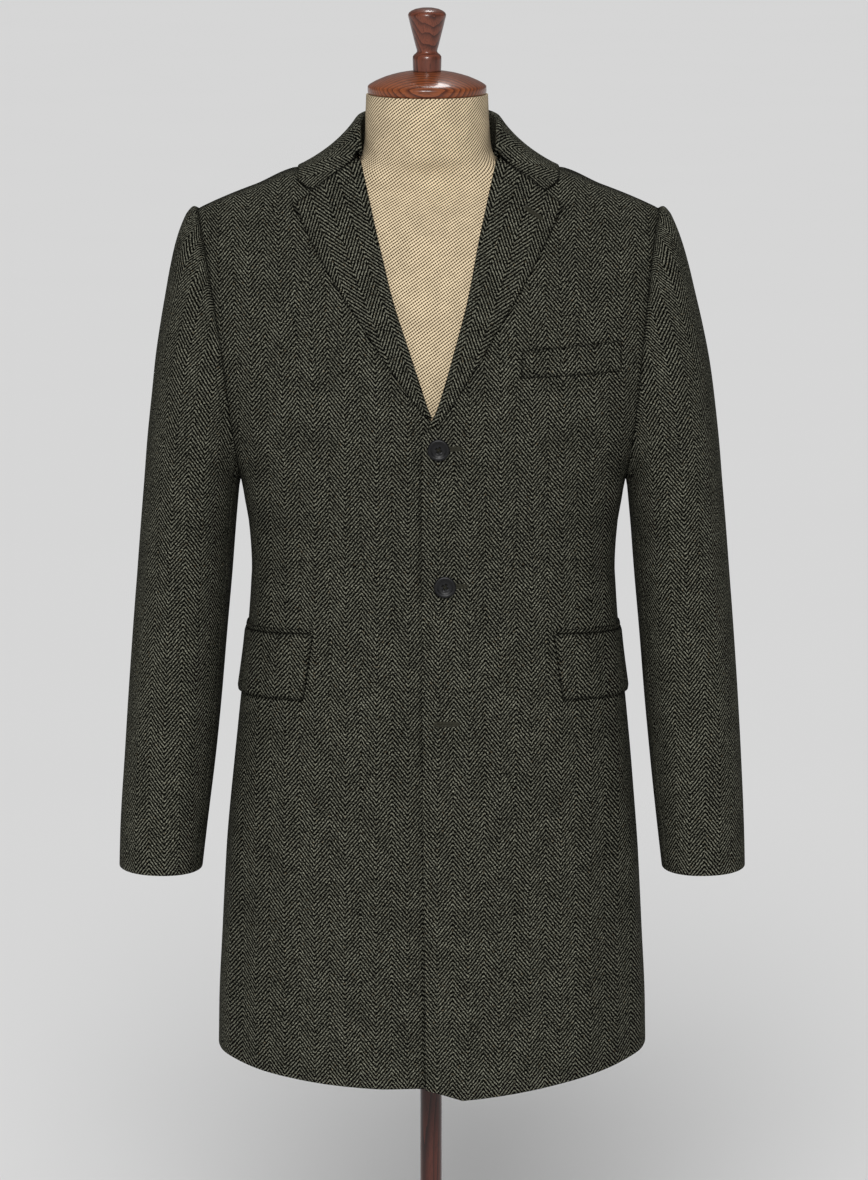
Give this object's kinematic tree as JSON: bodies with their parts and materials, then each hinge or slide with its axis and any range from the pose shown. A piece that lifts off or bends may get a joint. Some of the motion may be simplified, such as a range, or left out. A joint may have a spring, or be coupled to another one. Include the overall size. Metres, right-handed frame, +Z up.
{
  "type": "tweed overcoat on dress form",
  "caption": "Single-breasted herringbone tweed overcoat with notched lapels and flapped pockets, buttoned up on a limbless linen dress form with a turned wooden stand.",
  "frame": {"origin": "centre of the stand base's underside, on the pole's axis", "axes": "+Z up along the pole, -Y out of the coat's front, +X to the wearer's left"},
  "size_m": [0.6272, 0.36, 1.6247],
  "materials": {
    "tweed": "woollen herringbone tweed, napped and matte",
    "dark_horn": "polished dark horn-effect button",
    "linen": "coarse plain-woven natural linen, matte",
    "varnished_wood": "clear gloss varnish over red-brown wood",
    "dark_wood": "gloss varnish over dark red-brown wood"
  },
  "bodies": {
    "root": {"front_left": "tweed", "front_right": "tweed", "back_left": "tweed", "back_right": "tweed", "top_sleeve_left": "tweed", "top_sleeve_right": "tweed", "under_sleeve_left": "tweed", "under_sleeve_right": "tweed", "collar": "tweed", "lapel_left": "tweed", "lapel_right": "tweed", "breast_welt": "tweed", "jet_left": "tweed", "jet_right": "tweed", "flap_left": "tweed", "flap_right": "tweed", "button_top": "dark_horn", "button_middle": "dark_horn", "button_lower": "dark_horn", "form_torso": "linen", "neck_cap": "varnished_wood", "finial": "varnished_wood", "stand_pole": "dark_wood", "stand_base": "dark_wood"}
  },
  "joints": []
}
